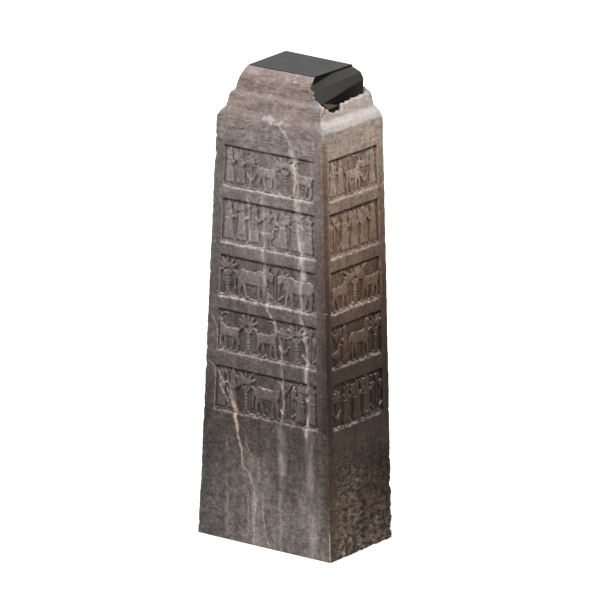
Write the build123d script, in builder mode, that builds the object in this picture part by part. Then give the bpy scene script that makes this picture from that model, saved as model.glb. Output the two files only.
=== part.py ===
from build123d import *
import math
import os

os.makedirs("parts", exist_ok=True)

# A four-sided pillar of dark limestone with a stepped head. Five sunk panels
# with carved friezes go round it on each of its four faces. The flat top and
# the lost stone on the right of the head are made good with a smooth dark fill.
# Millimetres, +Z up, origin at the middle of the foot. The broad front faces -Y.

# Driving dimensions
height = 1980.0
shaft_height = 1768.0
foot_half_width = 333.0
foot_half_depth = 214.4
shaft_top_half_width = 260.0
shaft_top_half_depth = 210.4

# The stepped head: half width, half depth and height of each edge, going up
head_edges = [
    (250.5, 203.5, 1788.0),
    (229.2, 188.0, 1811.0),
    (220.5, 183.0, 1857.0),
    (216.5, 180.0, 1867.0),
    (201.0, 168.0, 1882.0),
    (190.5, 160.0, 1923.0),
    (178.5, 146.5, 1954.0),
]
# The flat top, whose back left corner stands further out than the others
top_half_width = 162.3
top_half_depth = 128.6
top_outline = [
    (-top_half_width, -top_half_depth),
    (top_half_width, -top_half_depth),
    (top_half_width, top_half_depth),
    (-177.0, 144.0),
]

# Sunk panels: top and bottom edge of each row, from the top row down
panel_rows = [
    (1658.0, 1483.0),
    (1436.0, 1247.0),
    (1198.0, 1020.0),
    (971.0, 789.0),
    (730.0, 537.0),
]
broad_panel_half_foot = 279.7
broad_panel_half_top = 209.7
narrow_panel_half_foot = 180.5
narrow_panel_half_top = 164.7
panel_depth = 11.0
carving_bed = 6.0
sill_slope = 9.0
jamb_slope = 2.0

# Dark fill: a flat slab on top and a faceted mass on the right of the head
top_slab_thickness = 12.0
fill_inner_x = 120.0
fill_face_x = 200.5
fill_foot_z = 1826.0
fill_front_y = -152.0
fill_back_y = 152.0
fill_front_outline = [
    (fill_inner_x, fill_foot_z),
    (fill_inner_x, 1968.0),
    (top_half_width, 1968.0),
    (163.0, 1961.0),
    (171.0, 1936.0),
    (fill_face_x, 1866.0),
    (fill_face_x, fill_foot_z),
]
fill_back_outline = [
    (fill_inner_x, fill_foot_z),
    (fill_inner_x, 1970.0),
    (166.0, 1970.0),
    (175.0, 1970.0),
    (200.0, 1955.0),
    (203.0, 1920.0),
    (203.0, fill_foot_z),
]
# The stone of the front shoulder still stands as a skin in front of the fill, up
# to this ragged break, and so does the back one: its outline across the front
stone_skin = 6.0
skin_inner_y = 118.0
front_break_outline = [
    (164.0, height + 10.0),
    (163.5, 1968.0),
    (158.0, 1946.0),
    (159.0, 1932.0),
    (183.0, 1925.0),
    (179.0, 1909.0),
    (189.0, 1904.0),
    (187.0, 1891.0),
    (203.0, 1888.0),
    (202.0, 1880.0),
    (250.0, 1880.0),
    (250.0, height + 10.0),
]
# The step below is broken away above this ragged line: its outline across the
# right side
ledge_break_outline = [
    (-150.0, 1884.0),
    (-145.0, 1866.0),
    (-132.0, 1865.0),
    (-128.0, 1853.0),
    (-112.0, 1852.0),
    (-106.0, 1839.0),
    (-88.0, 1836.0),
    (-80.0, 1829.0),
    (-60.0, 1838.0),
    (-48.0, 1834.0),
    (-38.0, 1827.0),
    (-24.0, 1830.0),
    (-16.0, 1846.0),
    (-14.0, 1855.0),
    (16.0, 1852.0),
    (20.0, 1859.0),
    (56.0, 1855.0),
    (60.0, 1862.0),
    (100.0, 1857.0),
    (126.0, 1864.0),
    (148.0, 1860.0),
    (166.0, 1876.0),
    (166.0, 1900.0),
    (-150.0, 1900.0),
]
ledge_break_inner_x = 190.0
ledge_break_outer_x = 240.0
# A sloping wedge of fill closes the deepest part of that break
wedge_slope_points = [(fill_face_x, -115.0, 1872.0), (fill_face_x, 9.0, 1844.0), (221.4, -75.0, 1842.0)]
wedge_foot_outline = [
    (-126.0, 1878.0),
    (-118.0, 1858.0),
    (-96.0, 1843.0),
    (-70.0, 1838.0),
    (-38.0, 1838.0),
    (-8.0, 1840.0),
    (9.0, 1846.0),
    (9.0, 1878.0),
]

# Height of each kind of carved form above the panel's bed
low = 5.0
middle = 7.0
high = 9.0
ground_line_width = 4.0
motif_height = 150.0
frieze_margin = 4.0


def ring_outline(half_x, half_y):
    """The four corners of a level ring of the head."""
    return [(-half_x, -half_y), (half_x, -half_y), (half_x, half_y), (-half_x, half_y)]


def half_width(z):
    """Half width of the shaft at a height."""
    return foot_half_width + (shaft_top_half_width - foot_half_width) * z / shaft_height


def half_depth(z):
    """Half depth of the shaft at a height."""
    return foot_half_depth + (shaft_top_half_depth - foot_half_depth) * z / shaft_height


def panel_half(side, z):
    """Half width of a panel's opening at a height."""
    if side in ("front", "back"):
        return broad_panel_half_foot + (broad_panel_half_top - broad_panel_half_foot) * z / height
    return narrow_panel_half_foot + (narrow_panel_half_top - narrow_panel_half_foot) * z / height


def face_plane(side, z):
    """The plane of one face of the shaft, with its origin at a height."""
    depth_lean = math.atan((foot_half_depth - shaft_top_half_depth) / shaft_height)
    width_lean = math.atan((foot_half_width - shaft_top_half_width) / shaft_height)
    planes = {
        "front": ((0, -half_depth(z), z), (1, 0, 0), (0, -math.cos(depth_lean), math.sin(depth_lean))),
        "back": ((0, half_depth(z), z), (-1, 0, 0), (0, math.cos(depth_lean), math.sin(depth_lean))),
        "right": ((half_width(z), 0, z), (0, 1, 0), (math.cos(width_lean), 0, math.sin(width_lean))),
        "left": ((-half_width(z), 0, z), (0, -1, 0), (-math.cos(width_lean), 0, math.sin(width_lean))),
    }
    origin, x_dir, z_dir = planes[side]
    return Plane(origin=origin, x_dir=x_dir, z_dir=z_dir)


def opening_outline(side, top, bottom):
    """The four corners of a panel's opening, on the plane of its bottom edge."""
    foot = panel_half(side, bottom)
    head = panel_half(side, top)
    return [(-foot, 0), (foot, 0), (head, top - bottom), (-head, top - bottom)]


def bed_outline(side, top, bottom):
    """The four corners of a panel's bed: its sill slopes, its jambs slope less."""
    foot = panel_half(side, bottom) - jamb_slope
    head = panel_half(side, top) - jamb_slope
    return [(-foot, sill_slope), (foot, sill_slope), (head, top - bottom), (-head, top - bottom)]


# Carved forms. Each motif is a list of forms: an oval has a centre, a width, a
# height and a turn, and a limb has two ends with a width at each. The last value
# is how high it stands. x is across the panel and y is up from the ground line.


def oval(x, y, width, tall, turn, rise):
    return ("oval", (x, y, width, tall, turn), rise)


def limb(x1, y1, x2, y2, width1, width2, rise):
    return ("limb", (x1, y1, x2, y2, width1, width2), rise)


def standing_figure(burden):
    """A figure in a long robe and a pointed cap, walking to +x."""
    forms = [
        limb(0, 12, 0, 88, 42, 27, middle),
        limb(-20, 19, 20, 19, 6, 6, high),
        limb(-12, 24, -6, 80, 4, 3, high),
        limb(8, 24, 5, 80, 4, 3, high),
        limb(-14, 85, 14, 85, 6, 6, high),
        oval(0, 101, 30, 32, 0, middle),
        oval(3, 129, 19, 22, 0, high),
        oval(-8, 124, 14, 18, 20, middle),
        oval(9, 118, 9, 13, 10, middle),
        limb(1, 135, -2, 149, 17, 7, middle),
        limb(-1, 108, 17, 90, 11, 9, high),
        limb(16, 90, 27, 101, 8, 7, high),
        oval(-6, 9, 23, 8, 0, low),
        oval(16, 9, 23, 8, 0, low),
    ]
    burdens = {
        "staff": [
            limb(30, 8, 30, 134, 4, 4, low),
            oval(30, 137, 9, 9, 0, middle),
        ],
        "sheaf": [
            limb(30, 86, 30, 112, 8, 8, middle),
            oval(24, 126, 8, 28, 16, middle),
            oval(31, 129, 8, 30, 0, high),
            oval(38, 126, 8, 28, -16, middle),
        ],
        "jar": [
            oval(31, 112, 22, 25, 0, high),
            limb(31, 120, 31, 132, 8, 11, middle),
        ],
    }
    return forms + burdens[burden]


def four_legs(hip, shoulder, belly, thigh, shank):
    """Four walking legs below a beast's body."""
    forms = []
    for foot_shift, top, width in ((-8, hip, thigh), (10, hip + 9, thigh * 0.8)):
        forms.append(limb(top, belly + 6, top + foot_shift - 4, belly * 0.55, width, shank * 1.2, middle))
        forms.append(limb(top + foot_shift - 4, belly * 0.58, top + foot_shift + 2, 9, shank, shank * 0.8, middle))
        forms.append(oval(top + foot_shift + 4, 8, shank * 1.6, 7, 0, middle))
    for foot_shift, top, width in ((9, shoulder, thigh * 0.9), (-6, shoulder - 10, thigh * 0.7)):
        forms.append(limb(top, belly + 6, top + foot_shift, belly * 0.55, width, shank * 1.1, middle))
        forms.append(limb(top + foot_shift, belly * 0.58, top + foot_shift, 9, shank, shank * 0.8, middle))
        forms.append(oval(top + foot_shift + 2, 8, shank * 1.6, 7, 0, middle))
    return forms


def goat():
    """A wild goat with long swept horns, walking to +x."""
    forms = [
        oval(0, 72, 78, 33, 0, middle),
        oval(25, 75, 33, 38, 0, high),
        oval(-27, 73, 33, 37, 0, high),
        limb(28, 82, 43, 108, 22, 13, middle),
        limb(40, 114, 61, 105, 15, 8, high),
        limb(46, 117, 37, 134, 7, 6, middle),
        limb(37, 133, 20, 142, 6, 5, middle),
        limb(21, 143, 4, 139, 5, 3, middle),
        oval(37, 113, 13, 6, 30, middle),
        limb(56, 101, 54, 91, 6, 3, middle),
        limb(-42, 82, -51, 93, 8, 4, middle),
    ]
    return forms + four_legs(-30, 33, 58, 17, 8)


def bull():
    """A heavy bull with a deep chest, walking to +x."""
    forms = [
        oval(0, 84, 122, 50, 0, middle),
        oval(38, 89, 54, 60, 0, high),
        oval(-42, 86, 48, 54, 0, high),
        limb(44, 92, 66, 108, 44, 28, middle),
        oval(60, 78, 20, 32, 15, low),
        limb(63, 118, 84, 92, 26, 14, high),
        oval(84, 91, 18, 14, -30, high),
        limb(68, 126, 79, 137, 9, 6, middle),
        limb(78, 136, 75, 150, 6, 3, middle),
        oval(55, 123, 17, 8, -20, middle),
        oval(73, 112, 5, 5, 0, high),
        limb(-62, 102, -74, 78, 7, 5, middle),
        limb(-74, 79, -74, 42, 5, 5, middle),
        oval(-74, 34, 10, 20, 0, high),
    ]
    return forms + four_legs(-46, 46, 66, 24, 11)


def horse():
    """A horse with an arched neck and a long tail, walking to +x."""
    forms = [
        oval(0, 84, 104, 38, 0, middle),
        oval(34, 87, 40, 45, 0, high),
        oval(-36, 86, 42, 45, 0, high),
        limb(38, 94, 56, 130, 34, 19, middle),
        limb(50, 137, 73, 115, 19, 10, high),
        oval(73, 114, 13, 10, -40, high),
        limb(30, 104, 46, 141, 9, 7, high),
        limb(49, 140, 51, 152, 6, 3, middle),
        limb(-53, 96, -66, 68, 9, 12, middle),
        limb(-66, 70, -67, 26, 12, 5, middle),
        limb(6, 102, 10, 67, 5, 5, high),
    ]
    return forms + four_legs(-40, 38, 66, 20, 9)


def palm():
    """A date palm with a scaled trunk and drooping fronds."""
    forms = [
        limb(0, 4, 0, 100, 17, 10, low),
        oval(0, 8, 32, 12, 0, low),
        oval(-13, 90, 11, 18, 15, middle),
        oval(13, 90, 11, 18, -15, middle),
    ]
    for band in range(6):
        forms.append(limb(-8, 20 + band * 12, 8, 20 + band * 12, 5, 5, middle))
    for turn in (-62, -34, 0, 34, 62):
        reach = 27
        across = math.sin(math.radians(turn)) * reach
        up = math.cos(math.radians(turn)) * reach
        forms.append(oval(-across, 106 + up * 0.9, 11, 44, turn, high if turn else middle))
    for turn in (-98, 98):
        across = math.sin(math.radians(turn)) * 25
        forms.append(oval(-across, 101, 11, 38, turn + math.copysign(22, turn), middle))
    return forms


def lotus():
    """Three tall flowers on spreading stems."""
    forms = [
        oval(0, 8, 44, 11, 0, low),
        oval(-25, 30, 9, 34, 48, middle),
        oval(25, 30, 9, 34, -48, middle),
    ]
    for root, top_x, top in ((-9, -20, 86), (0, 0, 112), (9, 20, 86)):
        forms.append(limb(root, 8, top_x, top, 5, 5, low))
        forms.append(limb(top_x, top - 2, top_x, top + 15, 6, 17, middle))
        forms.append(oval(top_x - 7, top + 18, 8, 20, 18, middle))
        forms.append(oval(top_x + 7, top + 18, 8, 20, -18, middle))
        forms.append(oval(top_x, top + 19, 8, 24, 0, high))
    return forms


def rosette():
    """An eight-leaved rosette over a pair of small leaves."""
    forms = [oval(0, 106, 14, 14, 0, high)]
    for leaf in range(8):
        turn = leaf * 45
        across = math.sin(math.radians(turn)) * 15
        up = math.cos(math.radians(turn)) * 15
        forms.append(oval(-across, 106 + up, 10, 21, turn, middle))
    forms.append(limb(0, 6, 0, 80, 5, 5, low))
    forms.append(oval(-12, 44, 10, 40, 32, middle))
    forms.append(oval(12, 44, 10, 40, -32, middle))
    return forms


def goose():
    """A goose standing below a small bush, looking to +x."""
    return [
        oval(0, 46, 46, 26, 8, middle),
        oval(-2, 48, 30, 15, 12, high),
        limb(14, 52, 22, 78, 11, 7, middle),
        limb(20, 80, 37, 77, 9, 4, high),
        limb(-18, 46, -35, 56, 12, 6, middle),
        limb(-3, 34, -4, 9, 5, 4, middle),
        limb(7, 34, 9, 9, 5, 4, middle),
        oval(-1, 8, 13, 5, 0, middle),
        oval(13, 8, 13, 5, 0, middle),
        oval(-12, 118, 12, 38, 38, middle),
        oval(0, 124, 12, 40, 0, high),
        oval(12, 118, 12, 38, -38, middle),
        oval(0, 101, 16, 12, 0, high),
    ]


motif_forms = {
    "staff figure": standing_figure("staff"),
    "sheaf figure": standing_figure("sheaf"),
    "jar figure": standing_figure("jar"),
    "goat": goat(),
    "bull": bull(),
    "horse": horse(),
    "palm": palm(),
    "lotus": lotus(),
    "rosette": rosette(),
    "goose": goose(),
}

# Width that each motif takes up in a frieze
motif_width = {
    "staff figure": 52.0,
    "sheaf figure": 52.0,
    "jar figure": 52.0,
    "goat": 104.0,
    "bull": 150.0,
    "horse": 132.0,
    "palm": 66.0,
    "lotus": 58.0,
    "rosette": 50.0,
    "goose": 62.0,
}

# The friezes from the top row down, each read from left to right.
# A minus sign in front of a motif turns it to face the other way.
friezes = {
    "front": [
        ["jar figure", "staff figure", "rosette", "goat", "palm", "-goat"],
        ["sheaf figure", "staff figure", "jar figure", "goose", "-sheaf figure", "-jar figure", "-staff figure"],
        ["palm", "bull", "lotus", "-bull"],
        ["-goat", "palm", "goat", "rosette", "palm", "lotus"],
        ["staff figure", "jar figure", "palm", "horse", "lotus", "-jar figure", "-sheaf figure"],
    ],
    "right": [
        ["-jar figure", "-staff figure", "goat", "rosette", "-sheaf figure"],
        ["lotus", "sheaf figure", "jar figure", "-staff figure", "-jar figure"],
        ["goat", "palm", "-goat"],
        ["goose", "-sheaf figure", "horse", "palm"],
        ["rosette", "jar figure", "sheaf figure", "staff figure", "lotus"],
    ],
    "back": [
        ["goat", "lotus", "-horse", "rosette", "palm"],
        ["palm", "bull", "palm", "-jar figure", "-staff figure"],
        ["sheaf figure", "jar figure", "palm", "-goat", "-staff figure", "-sheaf figure", "rosette"],
        ["horse", "goose", "palm", "-horse"],
        ["rosette", "goat", "palm", "-goat", "lotus"],
    ],
    "left": [
        ["bull", "palm", "-jar figure"],
        ["goose", "rosette", "goose", "palm"],
        ["staff figure", "lotus", "-sheaf figure", "-jar figure", "rosette"],
        ["palm", "-horse", "rosette", "jar figure"],
        ["goat", "rosette", "-goat"],
    ],
}


def frieze_places(side, top, bottom, names):
    """Middle of each motif across the panel, and the scales that make the frieze fill it."""
    room = 2 * (panel_half(side, (top + bottom) / 2) - jamb_slope - frieze_margin)
    widths = [motif_width[name.strip("-")] for name in names]
    tall = (top - bottom - sill_slope - 2 * frieze_margin) / motif_height
    wide = room / sum(widths)
    places = []
    across = -room / 2
    for width in widths:
        places.append(across + width * wide / 2)
        across += width * wide
    return places, wide, tall


def draw_form(form, middle_x, facing, wide, tall):
    """Draw one oval or limb of a motif in the sketch being made."""
    kind, values, _ = form
    if kind == "oval":
        x, y, width, height_of_oval, turn = values
        with Locations((middle_x + facing * x * wide, sill_slope + y * tall)):
            Ellipse(width * wide / 2, height_of_oval * tall / 2, rotation=facing * turn)
        return
    x1, y1, x2, y2, width1, width2 = values
    start = Vector(middle_x + facing * x1 * wide, sill_slope + y1 * tall)
    end = Vector(middle_x + facing * x2 * wide, sill_slope + y2 * tall)
    along = (end - start).normalized()
    across = Vector(-along.Y, along.X)
    corners = [
        start + across * (width1 * wide / 2),
        start - across * (width1 * wide / 2),
        end - across * (width2 * wide / 2),
        end + across * (width2 * wide / 2),
    ]
    Polygon(*[(corner.X, corner.Y) for corner in corners], align=None)


def draw_motif(name, rise, place, wide, tall):
    """Draw the forms of one motif that stand at one height."""
    facing = -1 if name.startswith("-") else 1
    for form in motif_forms[name.strip("-")]:
        if form[2] == rise:
            draw_form(form, place, facing, wide, tall)


def carving(side, row):
    """The carved bed of one panel, with its figures standing on it."""
    top, bottom = panel_rows[row]
    names = friezes[side][row]
    places, wide, tall = frieze_places(side, top, bottom, names)
    bed = face_plane(side, bottom).offset(-panel_depth)
    with BuildPart() as relief:
        with BuildSketch(bed):
            Polygon(*bed_outline(side, top, bottom), align=None)
        extrude(amount=-carving_bed)
        for rise in (low, middle, high):
            with BuildSketch(bed):
                if rise == low:
                    with Locations((0, sill_slope)):
                        Rectangle(height, ground_line_width, align=(Align.CENTER, Align.MIN))
                for place, name in zip(places, names):
                    draw_motif(name, rise, place, wide, tall)
                Polygon(*bed_outline(side, top, bottom), align=None, mode=Mode.INTERSECT)
            extrude(amount=rise)
    return relief


# Top slab: closes the flat top
with BuildPart() as top_slab:
    with BuildSketch(Plane.XY.offset(height)):
        Polygon(*top_outline, align=None)
    extrude(amount=-top_slab_thickness)
top_slab.part.label = "top_slab"
export_step(top_slab.part, "parts/top_slab.step")

# The planes just inside the front and back shoulder, where the fill stops
_, shoulder_foot_y, shoulder_foot_z = head_edges[-2]
shoulder_rise = height - shoulder_foot_z
shoulder_run = shoulder_foot_y - top_half_depth
skin_planes = [
    Plane(
        origin=(0, facing * (shoulder_foot_y - stone_skin), shoulder_foot_z),
        z_dir=(0, facing * shoulder_rise, shoulder_run),
    )
    for facing in (-1, 1)
]

# The slope of the wedge, and the right face of the tier that it ends at
wedge_corner, wedge_back, wedge_foot = [Vector(*point) for point in wedge_slope_points]
wedge_plane = Plane(origin=wedge_corner, z_dir=(wedge_foot - wedge_corner).cross(wedge_back - wedge_corner))
tier_foot_x, _, tier_foot_z = head_edges[1]
tier_top_x, _, tier_top_z = head_edges[2]
tier_plane = Plane(origin=(tier_top_x, 0, tier_top_z), z_dir=(tier_top_z - tier_foot_z, 0, tier_foot_x - tier_top_x))

# Side fill: twisted facets from the flat top down to an upright face, and the
# wedge that closes the break in the step below
with BuildPart() as side_fill:
    with BuildSketch(Plane.YZ.offset(ledge_break_inner_x)):
        Polygon(*wedge_foot_outline, align=None)
    extrude(amount=ledge_break_outer_x - ledge_break_inner_x)
    split(bisect_by=wedge_plane, keep=Keep.BOTTOM)
    split(bisect_by=tier_plane, keep=Keep.BOTTOM)
    with BuildSketch(Plane.XZ.offset(-fill_front_y)):
        Polygon(*fill_front_outline, align=None)
    with BuildSketch(Plane.XZ.offset(-fill_back_y)):
        Polygon(*fill_back_outline, align=None)
    loft(ruled=True)
    for skin_plane in skin_planes:
        split(bisect_by=skin_plane, keep=Keep.BOTTOM)
    add(top_slab.part, mode=Mode.SUBTRACT)
side_fill.part.label = "side_fill"
export_step(side_fill.part, "parts/side_fill.step")

# Lost stone: all that is gone from the right of the head, filled or not
with BuildPart() as lost_stone:
    with BuildSketch(Plane.XZ.offset(-fill_back_y)):
        with Locations((fill_inner_x, fill_foot_z)):
            Rectangle(fill_face_x - fill_inner_x, height, align=Align.MIN)
    extrude(amount=fill_back_y - fill_front_y)
    for skin_plane in skin_planes:
        split(bisect_by=skin_plane, keep=Keep.BOTTOM)
    with BuildSketch(Plane.XZ.offset(skin_inner_y), Plane.XZ.offset(-shaft_top_half_depth)):
        Polygon(*front_break_outline, align=None)
    extrude(amount=shaft_top_half_depth - skin_inner_y)
    with BuildSketch(Plane.YZ.offset(ledge_break_inner_x)):
        Polygon(*ledge_break_outline, align=None)
    extrude(amount=ledge_break_outer_x - ledge_break_inner_x)

# Stone: the shaft and the stepped head are one block
with BuildPart() as stone_body:
    with BuildSketch(Plane.XY):
        Rectangle(2 * foot_half_width, 2 * foot_half_depth)
    with BuildSketch(Plane.XY.offset(shaft_height)):
        Rectangle(2 * shaft_top_half_width, 2 * shaft_top_half_depth)
    loft(ruled=True)
    rings = [(ring_outline(shaft_top_half_width, shaft_top_half_depth), shaft_height)]
    rings += [(ring_outline(half_x, half_y), z) for half_x, half_y, z in head_edges]
    rings.append((top_outline, height))
    for lower_ring, upper_ring in zip(rings, rings[1:]):
        for outline, z in (lower_ring, upper_ring):
            with BuildSketch(Plane.XY.offset(z)):
                Polygon(*outline, align=None)
        loft(ruled=True)
    # Five sunk panels on each face, each with a sloping sill
    for side in friezes:
        for top, bottom in panel_rows:
            surface = face_plane(side, bottom)
            with BuildSketch(surface):
                Polygon(*opening_outline(side, top, bottom), align=None)
            with BuildSketch(surface.offset(-panel_depth)):
                Polygon(*bed_outline(side, top, bottom), align=None)
            loft(ruled=True, mode=Mode.SUBTRACT)
            with BuildSketch(surface.offset(-panel_depth)):
                Polygon(*bed_outline(side, top, bottom), align=None)
            extrude(amount=-carving_bed, mode=Mode.SUBTRACT)
    # Room for the dark slab and fill
    add(lost_stone.part, mode=Mode.SUBTRACT)
    add(top_slab.part, mode=Mode.SUBTRACT)
    add(side_fill.part, mode=Mode.SUBTRACT)
stone_body.part.label = "stone_body"
export_step(stone_body.part, "parts/stone_body.step")

for side in friezes:
    for row in range(len(panel_rows)):
        relief = carving(side, row)
        relief.part.label = f"carving_{side}_{row + 1}"
        export_step(relief.part, f"parts/carving_{side}_{row + 1}.step")
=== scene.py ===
"""An obelisk of dark carved limestone with a stepped head: its looks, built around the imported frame.

Metres, +Z up. The broad front faces -Y, and the side with the dark fill faces +X.
"""

import math

import bpy
import numpy as np
from mathutils import Matrix, Vector


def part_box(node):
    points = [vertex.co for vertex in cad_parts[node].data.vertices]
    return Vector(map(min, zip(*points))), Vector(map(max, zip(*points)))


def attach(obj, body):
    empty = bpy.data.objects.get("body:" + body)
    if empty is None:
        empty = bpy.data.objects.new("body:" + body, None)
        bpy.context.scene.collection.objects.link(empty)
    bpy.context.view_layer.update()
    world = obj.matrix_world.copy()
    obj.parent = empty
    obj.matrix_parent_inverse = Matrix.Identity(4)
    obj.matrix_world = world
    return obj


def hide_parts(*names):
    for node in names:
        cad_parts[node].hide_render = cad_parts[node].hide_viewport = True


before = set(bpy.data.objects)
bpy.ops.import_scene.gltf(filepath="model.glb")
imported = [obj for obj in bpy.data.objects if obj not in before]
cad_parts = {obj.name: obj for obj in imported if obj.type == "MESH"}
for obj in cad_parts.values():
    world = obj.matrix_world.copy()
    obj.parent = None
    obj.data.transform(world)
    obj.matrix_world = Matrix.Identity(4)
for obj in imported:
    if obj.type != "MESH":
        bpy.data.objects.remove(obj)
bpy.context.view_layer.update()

# Sizes of the stone that its finish follows
HEIGHT = 1.98
SHAFT_TOP = 1.768
HEAD_FOOT, HEAD_RISE = 1.76, 0.22
FOOT_HALF = Vector((0.333, 0.2144))
SHAFT_TOP_HALF = Vector((0.260, 0.2104))
HEAD_EDGES = (
    (0.2292, 0.1880, 1.811),
    (0.2205, 0.1830, 1.857),
    (0.2010, 0.1680, 1.882),
    (0.1905, 0.1600, 1.923),
)
PANEL_ROWS = ((1.658, 1.483), (1.436, 1.247), (1.198, 1.020), (0.971, 0.789), (0.730, 0.537))
PANEL_DEPTH = 0.011
TOOL_LINE_GAP = 0.0088
SIDE_PANEL_END = 0.1822
SIDE_PANEL_TAPER = 0.008
SIDES = ("front", "right", "back", "left")

# Where the dark fill's slope, upright face and wedge start in X, and the break round it
FILL_START, HIP_START, WEDGE_START = 0.15, 0.1975, 0.2008
BREAK_HALF, BREAK_FOOT = 0.175, 1.822

# Its depth, then the front height and the rise of its hip and of the gap under the slab
FILL_DEPTH = 0.304
HIP_FRONT, HIP_RISE = 1.866, 0.054
GAP_FRONT, GAP_RISE, GAP_TOP = 1.948, 0.050, 1.9735

# How fine the worn meshes are
BODY_GRAIN = 0.0031
CARVING_GRAIN = 0.0017
BODY_TRIANGLES = 528000
CARVING_TRIANGLES = 21000
BODY_CUTS = (0.52, 1.22)
SMOOTH_ANGLE = math.radians(60)

# The suns' azimuth, elevation, power and softness, and the camera; angles are in degrees
SUNS = {"key": (-20, 52, 2.18, 6), "fill": (78, 60, 2.35, 8), "back": (200, 40, 0.8, 40)}
CAMERA_AZIMUTH, CAMERA_ELEVATION, CAMERA_ROLL = 35.83, 16.17, 0.644
CAMERA_DISTANCE = 30.0
CAMERA_LENS = 445.2
CAMERA_SHIFT = (0.0038, 0.0027)
FLOOR_SIZE = 120


# Modelling helpers


def pick(piece):
    """Select only this piece and make it the active one."""
    bpy.ops.object.select_all(action="DESELECT")
    piece.select_set(True)
    bpy.context.view_layer.objects.active = piece


def finish_with(piece, kind, **settings):
    """Add a modifier, set it up and apply it."""
    pick(piece)
    modifier = piece.modifiers.new(kind.title(), kind)
    for name, value in settings.items():
        setattr(modifier, name, value)
    bpy.ops.object.modifier_apply(modifier=modifier.name)


def soften(piece, factor, times, group=""):
    """Smooth a mesh, or the weighed part of it."""
    finish_with(piece, "SMOOTH", factor=factor, iterations=times, vertex_group=group)


def thin_to(piece, wanted):
    """Thin a mesh to about a wanted number of triangles."""
    triangles = sum(len(face.vertices) - 2 for face in piece.data.polygons)
    finish_with(piece, "DECIMATE", ratio=wanted / triangles)


def edit_all(piece, operator, **settings):
    """Use one edit-mode operator on the whole of a piece."""
    pick(piece)
    bpy.ops.object.mode_set(mode="EDIT")
    bpy.ops.mesh.select_all(action="SELECT")
    operator(**settings)
    bpy.ops.object.mode_set(mode="OBJECT")


def copy_of(source, name):
    """A copy of an object with its own mesh, at the origin."""
    piece = bpy.data.objects.new(name, source.data.copy())
    bpy.context.scene.collection.objects.link(piece)
    return piece


def copy_node(node_name, piece_name):
    """A closed copy of a CAD node's mesh, as a piece of its own."""
    piece = copy_of(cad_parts[node_name], piece_name)
    edit_all(piece, bpy.ops.mesh.remove_doubles, threshold=1e-6)
    piece.data.materials.clear()
    return piece


def points_of(piece):
    """The piece's points as rows of x, y, z."""
    flat = np.empty(len(piece.data.vertices) * 3)
    piece.data.vertices.foreach_get("co", flat)
    return flat.reshape(-1, 3)


def weigh(piece, name, weights, steps=12):
    """A vertex group from one weight for each point, in even steps."""
    group = piece.vertex_groups.new(name=name)
    levels = np.rint(np.clip(weights, 0.0, 1.0) * steps).astype(int)
    for level in range(1, steps + 1):
        chosen = np.nonzero(levels == level)[0]
        if len(chosen):
            group.add(chosen.tolist(), level / steps, "REPLACE")
    return name


def cloud(name, size, depth=2):
    """A soft noise for displacement."""
    texture = bpy.data.textures.new(name, "CLOUDS")
    texture.noise_scale = size
    texture.noise_depth = depth
    return texture


def bites(name, size, start, full):
    """A noise that is nothing over most of the surface and rises in spots."""
    texture = cloud(name, size, depth=3)
    texture.use_color_ramp = True
    first, last = texture.color_ramp.elements
    first.position, first.color = start, (0, 0, 0, 1)
    last.position, last.color = full, (1, 1, 1, 1)
    return texture


def wear_down(piece, texture, depth, middle=0.5, group=""):
    """Move the surface along its normals by a noise."""
    finish_with(
        piece, "DISPLACE", texture=texture, texture_coords="LOCAL", direction="NORMAL",
        strength=depth, mid_level=middle, vertex_group=group,
    )


# The stone block


def shaft_half(z):
    """Half width and half depth of the shaft at each height."""
    part = np.clip(z / SHAFT_TOP, 0.0, 1.0)
    return (
        FOOT_HALF.x + (SHAFT_TOP_HALF.x - FOOT_HALF.x) * part,
        FOOT_HALF.y + (SHAFT_TOP_HALF.y - FOOT_HALF.y) * part,
    )


def nearness_to_arrises(points, reach):
    """How near each point is to an outer edge of the shaft or the head."""
    x, y, z = np.abs(points[:, 0]), np.abs(points[:, 1]), points[:, 2]
    half_x, half_y = shaft_half(z)
    corner = np.hypot(half_x - x, half_y - y)
    corner = np.where(z < SHAFT_TOP + reach, corner, 1.0)
    nearest = corner
    for edge_x, edge_y, edge_z in ((*SHAFT_TOP_HALF, SHAFT_TOP), *HEAD_EDGES[1::2]):
        outward = np.maximum(x - edge_x, y - edge_y)
        nearest = np.minimum(nearest, np.hypot(outward, z - edge_z))
    for (low_x, low_y, low_z), (high_x, high_y, high_z) in zip(HEAD_EDGES, HEAD_EDGES[1:]):
        part = np.clip((z - low_z) / (high_z - low_z), 0.0, 1.0)
        edge_x = low_x + (high_x - low_x) * part
        edge_y = low_y + (high_y - low_y) * part
        beyond = np.maximum(low_z - z, z - high_z)
        edge = np.hypot(edge_x - x, edge_y - y) + np.maximum(beyond, 0.0)
        nearest = np.minimum(nearest, edge)

    # The head's edges are less worn than the shaft's, and the right side's between them hardly at all
    on_right = (points[:, 0] > 0) & (z > 0.42) & (z < 1.74)
    return (1.0 - nearest / reach) * np.where(on_right, 0.2, np.where(z > 1.70, 0.6, 1.0))


def nearness_to_sills(points, reach):
    """How near each point is to the bottom edge of a panel."""
    z = points[:, 2]
    nearest = np.min([np.abs(z - bottom - 0.005) for _, bottom in PANEL_ROWS], axis=0)
    return 1.5 - nearest / reach


def rough_foot(points):
    """Where the right face is deeply pitted: its lower part, away from the front corner."""
    x, y, z = points[:, 0], points[:, 1], points[:, 2]
    half_x, _ = shaft_half(z)
    on_right = np.clip(1.0 - (half_x - x) / 0.02, 0.0, 1.0)
    low = np.clip((0.50 - z) / 0.30, 0.0, 1.0)
    off_corner = np.clip((y + 0.19) / 0.08, 0.0, 1.0)
    return on_right * low * off_corner


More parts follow.
